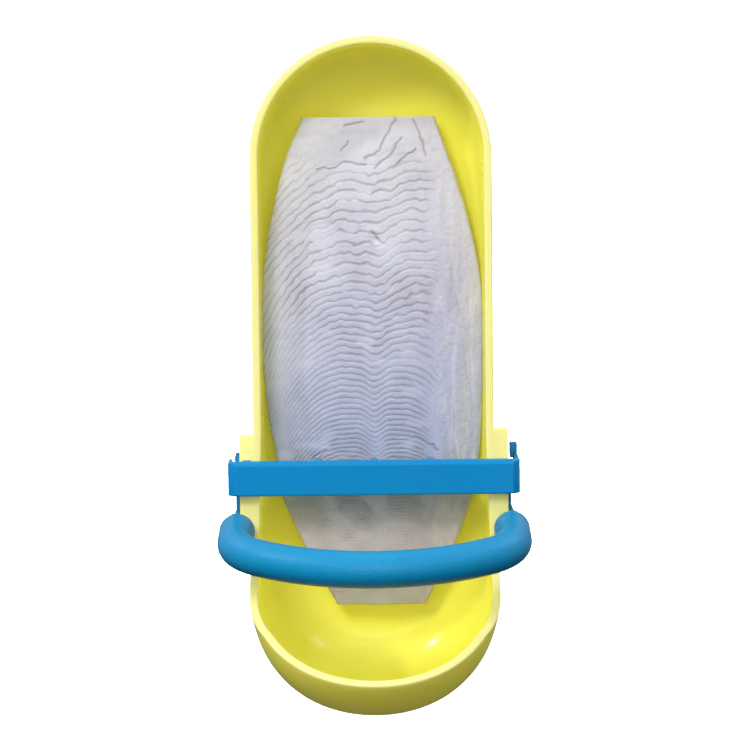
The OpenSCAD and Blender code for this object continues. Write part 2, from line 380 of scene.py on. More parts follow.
def cubic(xs, ys, x):
    """Catmull-Rom through the rows."""
    xs, ys = np.asarray(xs), np.asarray(ys)
    m = np.gradient(ys, xs)
    k = np.clip(np.searchsorted(xs, x) - 1, 0, len(xs) - 2)
    h = xs[k + 1] - xs[k]
    t = (x - xs[k]) / h
    return ((2 * t ** 3 - 3 * t ** 2 + 1) * ys[k] + (t ** 3 - 2 * t ** 2 + t) * h * m[k]
            + (-2 * t ** 3 + 3 * t ** 2) * ys[k + 1] + (t ** 3 - t ** 2) * h * m[k + 1])


def value_noise(x, z, scale, seed, stretch=1.0):
    """Smooth repeatable noise over the slab, about -1 to 1."""
    g = np.random.RandomState(seed).uniform(-1, 1, (97, 97))
    u, v = (x / scale + 40.3) % 96, (z / (scale * stretch) + 11.7) % 96
    i, j = u.astype(int), v.astype(int)
    fu, fv = u - i, v - j
    fu, fv = fu * fu * (3 - 2 * fu), fv * fv * (3 - 2 * fv)
    return ((g[i, j] * (1 - fu) + g[i + 1, j] * fu) * (1 - fv) + (g[i, j + 1] * (1 - fu) + g[i + 1, j + 1] * fu) * fv)


def sstep(a, b, x):
    t = np.clip((x - a) / (b - a), 0, 1)
    return t * t * (3 - 2 * t)


def line_shape(x, z):
    """How far one growth line rises or falls across the slab, in mm."""
    low = sstep(118, 78, z)                               # 0 high on the slab, 1 low
    left = np.clip(-6.2 - 1.8 * low - x, 0, None)
    fall_l = (0.031 + 0.024 * low) * left ** 2 + 0.03 * left
    dip = (0.9 + 1.5 * low) * np.exp(-((x - 0.4) / (3.6 - 1.1 * low)) ** 2)
    right = np.clip(x - (7.6 + 3.6 * (1 - low)), 0, None)
    fall_r = (0.020 + 0.040 * low) * right ** 2
    rise_r = (1 - low) * 3.0 * sstep(1.0, 12.0, x)
    return rise_r - fall_l - dip - fall_r


def ridge_field(x, z):
    """Terrace height and strength of the growth lines."""
    up = sstep(84, 112, z)
    wob = (0.30 + 0.55 * up) * value_noise(x, z, 3.6, 3, 2.2) + (0.16 + 0.42 * up) * value_noise(x, z, 1.35, 4, 1.5)
    wob = wob + 0.8 * value_noise(x, z, 17.0, 5, 1.0) + 0.10 * value_noise(x, z, 0.7, 6, 1.2)
    zz = z - line_shape(x, z) + wob * 0.8
    # spacing falls from about 3 mm near the top to 1 mm at the bottom, and the phase is its integral
    zs = np.linspace(0, 200, 2001)
    sp = np.interp(zs, [0, 50, 62, 74, 80, 88, 96, 104, 110, 116, 126, 135, 200], [0.9, 0.9, 1.0, 1.35, 1.58, 1.68, 1.8, 1.84, 2.05, 2.55, 2.7, 2.5, 2.5])
    ph = np.concatenate([[0], np.cumsum(0.1 / sp[:-1])])
    p = np.interp(zz, zs, ph)
    f = p - np.floor(p)
    spacing = np.interp(zz, zs, sp)
    # a slow climb, a narrow groove and a sharp drop, as overlapping layers give
    saw = np.where(f < 0.86, f / 0.86, 1 - sstep(0.86, 1.0, f)) ** 1.8 - 0.33
    width = 0.50 / np.maximum(spacing, 1.0)
    groove = np.exp(-((np.abs(f - 0.97) - np.where(f < 0.4, 1, 0) * 0.94) / width * 1.6) ** 2)
    height = saw * (0.14 + 0.085 * spacing) - groove * (0.10 + 0.045 * spacing)
    n1 = value_noise(x, z, 6, 8)
    mask = sstep(18.0, 13.0, x + 1.6 * n1) * sstep(149.0, 138.0, z + 3.0 * value_noise(x, z, 8, 9) - 0.30 * np.clip(x, -8, 30))
    mask = mask * (0.62 + 0.38 * sstep(-27.0, -20.0, x))
    trough = np.exp(-((x - 1.2) / 2.0) ** 2) * sstep(84, 60, z)
    mask = mask * (1 - 0.7 * trough)
    mask = mask * (0.76 + 0.24 * value_noise(x, z, 9, 10))
    # lines fade out here and there
    mask = mask * (1 - 0.65 * sstep(0.35, 0.8, value_noise(x, z, 5.5, 12, 0.5)))
    # low down the lines are finer and fainter, and worn away in places
    worn = 0.5 + 0.5 * value_noise(x, z, 3.2, 13, 0.8)
    mask = mask * (1 - sstep(66, 56, z) * (0.30 + 0.45 * worn))
    # a smooth patch beside the scar
    mask = mask * (1 - 0.8 * np.exp(-((x - 4.5) / 3.0) ** 2 - ((z - 121.5) / 2.6) ** 2))
    return height, groove, mask


STRAYS = [  # polylines of stray layer edges near the top: x, z pairs in mm
    [(6.9, 156.2), (4.8, 152.2), (2.2, 147.0), (-1.6, 145.0)],
    [(8.2, 150.8), (5.6, 146.2), (1.4, 142.8)],
    [(12.2, 147.6), (8.0, 144.6), (6.8, 143.4)],
    [(-14.2, 142.6), (-9.2, 142.8), (-7.2, 144.3), (-1.0, 143.6)],
    [(-7.0, 153.9), (-4.5, 154.5), (-1.8, 155.0)],
    [(-7.6, 147.4), (-6.6, 148.9), (-5.8, 149.8)],
    [(11.5, 155.0), (13.8, 150.0), (14.6, 146.0)],
    [(0.0, 126.0), (1.4, 124.4), (3.2, 122.8)],
    [(11.0, 71.6), (14.4, 69.8), (17.0, 68.0)],
    [(-16.2, 66.2), (-14.0, 67.6), (-12.6, 68.2)],
]


def stray_field(x, z):
    """Height and darkness of the stray edges."""
    height, dark = np.zeros_like(x), np.zeros_like(x)
    xw = x + 0.35 * value_noise(x, z, 1.5, 71)
    zw = z + 0.35 * value_noise(x, z, 1.5, 72)
    for line in STRAYS:
        for (x0, z0), (x1, z1) in zip(line, line[1:]):
            dx, dz = x1 - x0, z1 - z0
            ln = math.hypot(dx, dz)
            t = np.clip(((xw - x0) * dx + (zw - z0) * dz) / ln ** 2, 0, 1)
            d = np.hypot(xw - x0 - t * dx, zw - z0 - t * dz)
            side = ((zw - z0) * dx - (xw - x0) * dz) / ln
            height = np.minimum(height, -0.26 * np.exp(-(d / 0.30) ** 2))
            height = height + np.where(side > 0, 0.10, 0.0) * np.exp(-(d / 0.9) ** 2) * sstep(0, 0.3, d)
            dark = np.maximum(dark, np.exp(-(d / 0.26) ** 2))
    return height, dark


def front_y(x, z, fine=True):
    base = -19.6 + 3.4 * (np.abs(x) / 29.2) ** 2.2 + (z - 96) ** 2 / 502.0
    base = base + 0.10 * value_noise(x, z, 12, 21) + 0.05 * value_noise(x, z, 4, 22)
    # shallow groove left of the middle and a soft swell beside it, low on the slab
    low = sstep(78, 55, z)
    base = base + 0.55 * low * np.exp(-((x + 4.5) / 3.0) ** 2) - 0.30 * low * np.exp(-((x - 3.0) / 3.2) ** 2)
    if fine:
        height, _, mask = ridge_field(x, z)
        base = base - height * mask
        # wavy upright texture on the right margin
        right = sstep(12, 20, x)
        base = base + right * (0.20 * value_noise(x, z, 2.6, 31, 7.0) + 0.09 * value_noise(x, z, 1.1, 32, 6.0) + 0.06 * value_noise(x, z, 0.9, 34, 1.0))
        left = sstep(-20, -27, x)
        base = base + left * 0.06 * value_noise(x + z * 0.10, z, 1.2, 33, 9.0)
        # stray layer edges and scratches
        base = base - stray_field(x, z)[0]
        # dents and facets in the smooth area near the top
        base = base + 0.22 * sstep(132, 150, z) * value_noise(x, z, 5.0, 73, 0.6) + 0.10 * sstep(132, 150, z) * value_noise(x, z, 2.2, 74, 0.7)
        # an old scar near the middle
        u, v = x - 1.4, z - 124.0
        r = np.hypot(u + 0.35 * v, v * 0.8)
        base = base + 0.45 * np.exp(-(r / 0.9) ** 2) - 0.16 * np.exp(-((r - 2.0) / 0.9) ** 2)
        # cell-like pores
        base = base + 0.022 * value_noise(x, z, 0.55, 41) + 0.016 * value_noise(x, z, 0.35, 42)
    return base


def build_bone():
    nz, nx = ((640, 236))
    z = np.linspace(B0, B1, nz)
    left, right = cubic(rows[:, 0], rows[:, 1], z), cubic(rows[:, 0], rows[:, 2], z)
    # hand-trimmed edges are never quite straight
    left = left + 0.10 * value_noise(z * 0 + 3, z, 5, 51) + 0.05 * value_noise(z * 0 + 3, z, 1.3, 52)
    right = right + 0.10 * value_noise(z * 0 + 9, z, 5, 53) + 0.05 * value_noise(z * 0 + 9, z, 1.3, 54)
    t = np.linspace(-1, 1, nx)
    t = np.sign(t) * (1 - (1 - np.abs(t)) ** 1.15)        # a little denser towards the edges
    X = np.where(t[None, :] < 0, left[:, None] * t[None, :], right[:, None] * t[None, :])
    Zg = np.repeat(z[:, None], nx, 1)
    YF = front_y(X, Zg)
    YB = -42.6 + np.sqrt(40.0 ** 2 - np.clip(X, -39, 39) ** 2)
    YB = YB + (np.maximum(Zg - 120, 0) ** 2) / 2600.0 * -1 + (np.maximum(60 - Zg, 0) ** 2) / 1600.0 * -1
    YB = YB + 0.05 * value_noise(X, Zg, 1.5, 61) - 0.05
    # round the long edges over
    edge = np.minimum(X + left[:, None], right[:, None] - X)
    mid = (YF + YB) / 2
    er = np.clip(edge / 0.9, 0, 1)
    er = np.sqrt(1 - (1 - er) ** 2)
    end = np.clip(np.minimum(Zg - B0, B1 - Zg) / 0.35, 0, 1)
    end = 0.55 + 0.45 * np.sqrt(1 - (1 - end) ** 2)
    YF = mid + (YF - mid) * er
    YB = mid + (YB - mid) * er
    chamf = (1 - end)
    YF, YB = YF + chamf * 0.5, YB - chamf * 0.5
    verts = np.empty((2 * nz * nx, 3))
    verts[:nz * nx] = np.stack([X, YF, Zg], -1).reshape(-1, 3)
    verts[nz * nx:] = np.stack([X, YB, Zg], -1).reshape(-1, 3)
    idx = np.arange(nz * nx).reshape(nz, nx)
    a, b, c, d = idx[:-1, :-1], idx[:-1, 1:], idx[1:, 1:], idx[1:, :-1]
    front = np.stack([a, b, c, d], -1).reshape(-1, 4)
    back = np.stack([a, d, c, b], -1).reshape(-1, 4) + nz * nx
    faces = [tuple(f) for f in front.tolist()] + [tuple(f) for f in back.tolist()]
    off = nz * nx
    # cut faces at the two ends, in several strips so that their layers can show
    extra, vlist = [], [tuple(v) for v in verts.tolist()]
    for k, flip in ((0, False), (nz - 1, True)):
        strips, prev = 14, [int(i) for i in idx[k]]
        last = [int(i) + off for i in idx[k]]
        for s in range(1, strips + 1):
            if s == strips:
                cur = last
            else:
                f = s / strips
                cur = []
                for i in range(nx):
                    p, q = vlist[prev_front(idx, k, i)], vlist[last[i]]
                    zoff = 0.05 * math.sin(s * 2.4 + 0.3 * math.sin(i * 0.11)) + 0.03 * math.sin(i * 0.7 + s)
                    vlist.append((p[0] + (q[0] - p[0]) * f, p[1] + (q[1] - p[1]) * f, p[2] + (zoff + 0.06) * (1 if k == 0 else -1)))
                    cur.append(len(vlist) - 1)
            for i in range(nx - 1):
                q = (prev[i], cur[i], cur[i + 1], prev[i + 1])
                extra.append(q if not flip else q[::-1])
            prev = cur
    faces += extra
    for i in range(nz - 1):                               # the two long edges
        a0, a1 = int(idx[i, 0]), int(idx[i + 1, 0])
        faces.append((a0, a1, a1 + off, a0 + off))
        b0, b1 = int(idx[i, -1]), int(idx[i + 1, -1])
        faces.append((b0, b0 + off, b1 + off, b1))
    o = mesh_object("cuttlebone_slab", vlist, faces)
    bm = bmesh.new()
    bm.from_mesh(o.data)
    bmesh.ops.remove_doubles(bm, verts=bm.verts, dist=1e-6)
    bmesh.ops.recalc_face_normals(bm, faces=bm.faces)
    bm.to_mesh(o.data)
    bm.free()
    # painted shade guide: where the grooves of the layer edges and stray edges are, to be painted darker
    co = np.empty(len(o.data.vertices) * 3)
    o.data.vertices.foreach_get("co", co)
    co = co.reshape(-1, 3)
    x, z = co[:, 0] / MM, co[:, 2] / MM - Z0
    _, groove, mask = ridge_field(x, z)
    line = np.maximum(np.clip(1.3 * groove * np.clip(mask, 0, 1) * (0.78 + 0.22 * value_noise(x, z, 2.4, 75)), 0, 1), 0.9 * stray_field(x, z)[1])
    at = o.data.attributes.new("layer_edge_shade", "FLOAT", "POINT")
    at.data.foreach_set("value", line.astype(np.float32))
    return o


def prev_front(idx, k, i):
    return int(idx[k, i])


bone = build_bone()
smooth(bone, 50)
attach(bone, "holder")
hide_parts("cuttlebone")


# ---------------------------------------------------------------- retaining bar
BZ0, BZ1, BB, BF, BX = 57.5, 66.6, -26.7, -29.4, 38.3
HX, HY = -35.2, -19.0


def build_bar():
    # the strip and both cheeks in one bent outline, seen from above; the ends are chamfered
    def arc(cx, cy, r, a0, a1, n=5):
        return [(cx + r * math.cos(math.radians(a0 + (a1 - a0) * i / n)), cy + r * math.sin(math.radians(a0 + (a1 - a0) * i / n))) for i in range(n + 1)]
    c, q, ct = 1.85, 0.5, 1.05
    k = q * math.tan(math.radians(22.5))
    outer = [(-BX, -21.4)]
    outer += arc(-BX + q, BF + c + k, q, 180, 225) + arc(-BX + c + k, BF + q, q, 225, 270)
    outer += [(-BX + c + k + (2 * BX - 2 * c - 2 * k) * i / 24, BF) for i in range(1, 24)]
    outer += arc(BX - c - k, BF + q, q, 270, 315) + arc(BX - q, BF + c + k, q, 315, 360)
    outer += [(BX, -9.6)]
    inner = [(BX - ct, -9.6)] + arc(BX - ct - 0.9, BB + 0.9, 0.9, 0, -90) + arc(-BX + ct + 0.9, BB + 0.9, 0.9, -90, -180) + [(-BX + ct, -21.4)]
    pts = outer + inner
    n, no = len(pts), len(outer)

    def inward(i):
        p, nx_ = pts[(i - 1) % n], pts[(i + 1) % n]
        dx, dy = nx_[0] - p[0], nx_[1] - p[1]
        ln = math.hypot(dx, dy)
        return (-dy / ln, dx / ln)
    flat = [inward(i) for i in range(n)]
    for i, v in ((0, (1, 0)), (no - 1, (-1, 0)), (no, (1, 0)), (n - 1, (-1, 0))):
        flat[i] = v
    verts, levels = [], []
    steps = 6
    for j in range(steps + 1):                            # bottom rounding, then top rounding
        t = math.pi / 2 * j / steps
        levels.append((BZ0, 0.55, 1 - math.sin(t), 1 - math.cos(t)))
    for j in range(steps + 1):
        t = math.pi / 2 * j / steps
        levels.append((BZ1, -1.25, 1 - math.cos(t), 1 - math.sin(t)))
    for base, r, cut, up in levels:
        for i, (x, y) in enumerate(pts):
            rr = abs(r)
            if i >= no:
                rr = 0.22
            elif rr > 0.4:                                # the front's edges are rounder than the cheeks'
                rr = 0.4 + (rr - 0.4) * smoothstep(27.3, 28.8, -y)
            d = cut * rr
            verts.append((x + flat[i][0] * d, y + flat[i][1] * d, base + math.copysign(rr * up, r)))
    m = len(levels)
    faces = [(j * n + i, j * n + (i + 1) % n, (j + 1) * n + (i + 1) % n, (j + 1) * n + i) for j in range(m - 1) for i in range(n)]
    faces += [tuple(reversed(range(n))), tuple(range((m - 1) * n, m * n))]
    bar = mesh_object("bar_moulding", verts, faces)
    bm = bmesh.new()
    bm.from_mesh(bar.data)
    caps = [f for f in bm.faces if len(f.verts) > 4]
    bmesh.ops.triangulate(bm, faces=caps)
    bmesh.ops.recalc_face_normals(bm, faces=bm.faces)
    bm.to_mesh(bar.data)
    bm.free()
    parts = []
    for i in (-1, 0, 1):
        parts.append(rbox("rib", i * 14.9 - 0.9, i * 14.9 + 0.9, BB - 1.0, BB + 7.6, BZ0 + 0.4, BZ1 - 0.25, 0.3, 3))
    parts.append(rbox("stop", -34.4, -32.2, BB - 1.0, BB + 0.4, BZ0 + 0.5, BZ1 + 0.2, 0.15, 2))
    parts.append(rbox("neck", -BX, -BX + 2.0, -21.9, -19.0, BZ0 + 3.6, BZ0 + 7.4, 0.2, 2))
    parts.append(rod("knuckle", (HX, HY), 1.75, "z", BZ0 + 3.6, BZ0 + 7.4, 40, 0.15))
    parts.append(rbox("tab", BX - 2.05, BX, -13.8, -10.4, BZ0 + 7.7, BZ0 + 11.8, 0.35, 3))
    boolean(bar, parts)
    boolean(bar, [rod("hole", (HX, HY), 0.85, "z", BZ0, BZ1 + 4, 32, 0.0)], "DIFFERENCE")
    return flat_sides(smooth(bar, 40))


bar = build_bar()
bar.name = "bar_moulding"
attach(bar, "gate")
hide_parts("retaining_bar")


# ---------------------------------------------------------------- perch
PR, PX, BEND, TURN = 4.7, 35.9, 15.0, math.radians(38)
PEND = -RIM - 0.5 - PR
PZ, SLOPE, REACH = 48.6, math.radians(10.2), 31.0


def perch_path():
    bow = BEND + (PX - BEND) / math.sin(TURN)
    c = bow - BEND
    front = PEND - REACH
    by = front + bow - c * math.cos(TURN)
    pts = []
    n = 70
    for i in range(n + 1):
        t = -TURN + 2 * TURN * i / n
        pts.append((bow * math.sin(t), front + bow - bow * math.cos(t)))
    m = 34
    right = [(PX - BEND + BEND * math.sin(TURN + (math.pi / 2 - TURN) * i / m),
              by - BEND * math.cos(TURN + (math.pi / 2 - TURN) * i / m)) for i in range(1, m + 1)]
    k = 10
    right += [(PX, by + (PEND - by) * i / k) for i in range(1, k + 1)]
    pts = [(-x, y) for x, y in reversed(right)] + pts + right
    # tilt the whole plane about the line through the ends
    out = []
    for x, y in pts:
        d = y - PEND
        out.append(Vector((x, PEND + d * math.cos(SLOPE), PZ + d * math.sin(SLOPE))))
    return out


def build_perch():
    path = perch_path()
    up = Vector((0, -math.sin(SLOPE), math.cos(SLOPE)))
    segs, rings = 64, []
    n = len(path)
    for i, p in enumerate(path):
        t = (path[min(i + 1, n - 1)] - path[max(i - 1, 0)]).normalized()
        side = t.cross(up).normalized()
        rings.append((p, t, side, PR))
    first, last = rings[0], rings[-1]
    dome = 12
    head = [(first[0] - first[1] * PR * math.sin(a), first[1], first[2], PR * math.cos(a))
            for a in [math.pi / 2 * i / dome for i in range(dome, 0, -1)]]
    tail = [(last[0] + last[1] * PR * math.sin(a), last[1], last[2], PR * math.cos(a))
            for a in [math.pi / 2 * i / dome for i in range(1, dome + 1)]]
    rings = head + rings + tail
    verts, faces = [], []
    for p, t, side, r in rings:
        for j in range(segs):
            a = 2 * math.pi * j / segs
            q = p + side * (r * math.cos(a)) + up * (r * math.sin(a))
            verts.append(tuple(q))
    for i in range(len(rings) - 1):
        for j in range(segs):
            k = (j + 1) % segs
            faces.append((i * segs + j, i * segs + k, (i + 1) * segs + k, (i + 1) * segs + j))
    o = mesh_object("perch_rod", verts, faces)
    clean(o, 1e-6)
    cuts = []
    for s in (-1, 1):
        cuts.append(rbox("slot", *sorted((s * 35.6, s * 36.9)), PEND - 1.0, PEND + 19, PZ - 3, PZ + 2.6, 0))
    boolean(o, cuts, "DIFFERENCE")
    return smooth(o, 40)


perch = build_perch()
perch.name = "perch_rod"
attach(perch, "holder")
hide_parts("perch")


# ---------------------------------------------------------------- brackets
def build_bracket(s, name):
    def sx(a, b):
        return sorted((s * a, s * b))
    body = rbox(name, *sx(35.6, 36.9), -24.5, -8.0, PZ - 5, PZ + 4, 0.35, 3)
    top = BZ0 + (9.5 if s < 0 else 7.0)
    w = 3.3 if s < 0 else 3.0
    parts = [rbox("tongue", *sx(35.62, 36.88), PEND - 0.95, PEND + 12.0, PZ - 2.98, PZ + 2.58, 0.12, 2),
             rbox("post", *sx(33.6, 33.6 + w), HY + 3.6, HY + 10.0, PZ + 3.6, top, 0.3, 3)]
    if s < 0:
        for a, b in ((BZ0 + 0.4, BZ0 + 3.4), (BZ0 + 7.6, BZ0 + 9.5)):
            parts.append(rbox("lug", HX - 1.7, HX + 1.6, HY, HY + 4.4, a, b, 0.1, 2))
            parts.append(rod("barrel", (HX, HY), 1.7, "z", a, b, 36, 0.12))
    boolean(body, parts)
    cuts = [rod("screw_hole", (-14.0, 48.8), 1.3, "x", *sx(20, 60), 28, 0.0)]
    if s < 0:
        cuts.append(rod("pin_hole", (HX, HY), 0.8, "z", BZ0 - 5, BZ0 + 25, 28, 0.0))
    boolean(body, cuts, "DIFFERENCE")
    return flat_sides(smooth(body, 40))


brackets = []
for s, node in ((-1, "left_bracket"), (1, "right_bracket")):
    b = build_bracket(s, node + "_moulding")
    b.name = node + "_moulding"
    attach(b, "holder")
    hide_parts(node)
    brackets.append(b)


# ---------------------------------------------------------------- clamp bolt, with its thread
def build_bolt():
    """An M6 bolt along Y at height 88: rolled thread, chamfered tip and hexagon head."""
    c, r, pitch, y0, y1 = 88.0, 3.0, 1.0, 0.4, 22.3
    segs, rows_ = 48, int((y1 - y0) / pitch * 10) + 1
    v, f = [], []
    for i in range(rows_):
        y = y0 + (y1 - y0) * i / (rows_ - 1)
        tip = min(1.0, (y1 - y) / 0.8)                    # the end is turned down to the root
        for j in range(segs):
            a = 2 * math.pi * j / segs
            k = (y / pitch - j / segs) % 1.0
            depth = 0.30 * (1 - min(abs(k - 0.5) * 2.6, 1.0))
            rr = min(r - depth, r - 0.55 * (1 - tip))
            v.append((rr * math.cos(a), y, c + rr * math.sin(a)))
    for i in range(rows_ - 1):
        for j in range(segs):
            k = (j + 1) % segs
            f.append((i * segs + j, i * segs + k, (i + 1) * segs + k, (i + 1) * segs + j))
    f.append(tuple(range(segs)))
    f.append(tuple(reversed(range((rows_ - 1) * segs, rows_ * segs))))
    shank = clean(mesh_object("bolt_shank", v, f))
    smooth(shank, 40)
    hexa = [(5.8 * math.cos(math.radians(30 + 60 * i)), c + 5.8 * math.sin(math.radians(30 + 60 * i))) for i in range(6)]
    head = prism("clamp_bolt_threaded", hexa, "y", -2.1, 0.9, 0.25, 3)
    smooth(head, 32)
    bm = bmesh.new()
    bm.from_mesh(head.data)
    bm.from_mesh(shank.data)
    bm.to_mesh(head.data)
    bm.free()
    bpy.data.objects.remove(shank)
    head.data.update()
    return head


bolt = build_bolt()
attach(bolt, "holder")
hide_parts("clamp_bolt")


# ---------------------------------------------------------------- materials
def new_material(name):
    m = bpy.data.materials.new(name)
    m.use_nodes = True
    nt = m.node_tree
    bsdf = nt.nodes["Principled BSDF"]
    return m, nt, bsdf


def noise_node(nt, scale, detail=3.0, rough=0.55, w=0.0, coord=None, distortion=0.0):
    n = nt.nodes.new("ShaderNodeTexNoise")
    n.inputs["Scale"].default_value = scale
    n.inputs["Detail"].default_value = detail
    n.inputs["Roughness"].default_value = rough
    n.inputs["Distortion"].default_value = distortion
    if coord is not None:
        nt.links.new(coord, n.inputs["Vector"])
    return n


def ramp(nt, src, stops):
    r = nt.nodes.new("ShaderNodeValToRGB")
    el = r.color_ramp.elements
    while len(el) > len(stops):
        el.remove(el[-1])
    while len(el) < len(stops):
        el.new(0.5)
    for e, (p, c) in zip(el, stops):
        e.position, e.color = p, c if len(c) == 4 else (*c, 1)
    nt.links.new(src, r.inputs["Fac"])
    return r


def map_range(nt, src, a, b, c, d):
    n = nt.nodes.new("ShaderNodeMapRange")
    for k, v in zip(("From Min", "From Max", "To Min", "To Max"), (a, b, c, d)):
        n.inputs[k].default_value = v
    nt.links.new(src, n.inputs["Value"])
    return n.outputs["Result"]


def math_node(nt, op, a, b):
    n = nt.nodes.new("ShaderNodeMath")
    n.operation = op
    for i, v in enumerate((a, b)):
        if isinstance(v, (int, float)):
            n.inputs[i].default_value = v
        else:
            nt.links.new(v, n.inputs[i])
    return n.outputs[0]


def mix_col(nt, fac, a, b):
    n = nt.nodes.new("ShaderNodeMix")
    n.data_type = "RGBA"
    for key, v in ((0, fac), (6, a), (7, b)):
        if isinstance(v, (int, float)):
            n.inputs[key].default_value = v
        elif isinstance(v, tuple):
            n.inputs[key].default_value = (*v, 1) if len(v) == 3 else v
        else:
            nt.links.new(v, n.inputs[key])
    return n.outputs[2]


def bump(nt, height, strength, dist, normal=None):
    b = nt.nodes.new("ShaderNodeBump")
    b.inputs["Strength"].default_value = strength
    b.inputs["Distance"].default_value = dist
    nt.links.new(height, b.inputs["Height"])
    if normal is not None:
        nt.links.new(normal, b.inputs["Normal"])
    return b.outputs["Normal"]


def object_coord(nt):
    return nt.nodes.new("ShaderNodeTexCoord").outputs["Object"]


def plastic(name, base, dark, light, rough=0.3, fine=900.0, fine_strength=0.06, spec=0.5, coat=0.0, sss=0.0, wear_and_edge_highlight=0.35, glow=0.0, rim=None):
    """Moulded plastic: faint flow mottling, orange-peel gloss, lighter edges from painted highlight and rubbed wear.
    """
    m, nt, b = new_material(name)
    co = object_coord(nt)
    big = noise_node(nt, 28.0, 3.0, 0.5, coord=co)
    col = ramp(nt, big.outputs["Fac"], [(0.30, dark), (0.5, base), (0.72, light)]).outputs["Color"]
    # painted highlight and wear: pointy edges are painted lighter, broken up by fine noise
    geo = nt.nodes.new("ShaderNodeNewGeometry")
    edge = map_range(nt, geo.outputs["Pointiness"], 0.515, 0.56, 0.0, wear_and_edge_highlight)
    worn = noise_node(nt, 260.0, 4.0, 0.6, coord=co)
    edge = math_node(nt, "MULTIPLY", edge, worn.outputs["Fac"])
    col = mix_col(nt, edge, col, tuple(min(1.0, c * 0.82 + 0.16) for c in light[:3]))
    if rim:
        # painted highlight and glow: the free edges are painted paler and the whole part emits a little light,
        # standing in for light passing through the clear-tinted plastic
        att = nt.nodes.new("ShaderNodeAttribute")
        att.attribute_name = "rim_light"
        col = mix_col(nt, math_node(nt, "MULTIPLY", att.outputs["Fac"], 0.85), col, rim)
        nt.links.new(map_range(nt, att.outputs["Fac"], 0.0, 1.0, glow, glow * 1.05), b.inputs["Emission Strength"])
        nt.links.new(col, b.inputs["Emission Color"])
    nt.links.new(col, b.inputs["Base Color"])
    smudge = noise_node(nt, 60.0, 5.0, 0.62, coord=co, distortion=0.6)
    nt.links.new(map_range(nt, smudge.outputs["Fac"], 0.3, 0.7, rough - 0.05, rough + 0.08), b.inputs["Roughness"])
    peel = noise_node(nt, fine, 2.0, 0.5, coord=co)
    nrm = bump(nt, peel.outputs["Fac"], fine_strength, 0.0003)
    nt.links.new(nrm, b.inputs["Normal"])
    b.inputs["Specular IOR Level"].default_value = spec
    b.inputs["IOR"].default_value = 1.49
    if not rim:
        b.inputs["Emission Color"].default_value = (*base, 1)
        b.inputs["Emission Strength"].default_value = glow
    b.inputs["Coat Weight"].default_value = coat
    b.inputs["Coat Roughness"].default_value = 0.48
    if sss:
        b.inputs["Subsurface Weight"].default_value = sss
        b.inputs["Subsurface Radius"].default_value = (1.0, 0.85, 0.25)
        b.inputs["Subsurface Scale"].default_value = 0.003
    return m


# the lime plastic carries a painted glow and a paler painted rim highlight
lime = plastic("lime_plastic", (0.82, 0.775, 0.092), (0.80, 0.755, 0.084), (0.84, 0.795, 0.102), rough=0.20, fine=420.0, fine_strength=0.03, sss=0.5,
               coat=0.10, wear_and_edge_highlight=0.06, glow=0.165, rim=(0.87, 0.80, 0.33))
blue = plastic("blue_plastic", (0.0, 0.235, 0.54), (0.0, 0.225, 0.515), (0.0, 0.245, 0.565), rough=0.30, fine=700.0, fine_strength=0.05, spec=0.16)


def textured_blue():
    m, nt, b = new_material("blue_textured_plastic")
    co = object_coord(nt)
    big = noise_node(nt, 45.0, 4.0, 0.55, coord=co)
    col = ramp(nt, big.outputs["Fac"], [(0.3, (0.0, 0.235, 0.475)), (0.55, (0.0, 0.255, 0.51)), (0.75, (0.002, 0.28, 0.55))]).outputs["Color"]
    grain = noise_node(nt, 2300.0, 3.0, 0.6, coord=co)
    col = mix_col(nt, map_range(nt, grain.outputs["Fac"], 0.45, 0.75, 0.0, 0.20), col, (0.04, 0.34, 0.58))
    nt.links.new(col, b.inputs["Base Color"])
    nt.links.new(map_range(nt, grain.outputs["Fac"], 0.3, 0.7, 0.30, 0.44), b.inputs["Roughness"])
    vor = nt.nodes.new("ShaderNodeTexVoronoi")
    vor.inputs["Scale"].default_value = 1500.0
    nt.links.new(co, vor.inputs["Vector"])
    n1 = bump(nt, vor.outputs["Distance"], 0.28, 0.00022)
    n2 = bump(nt, grain.outputs["Fac"], 0.35, 0.0002, n1)
    n3 = bump(nt, noise_node(nt, 320.0, 3.0, 0.5, coord=co).outputs["Fac"], 0.12, 0.0004, n2)
    nt.links.new(n3, b.inputs["Normal"])
    b.inputs["Specular IOR Level"].default_value = 0.36
    return m


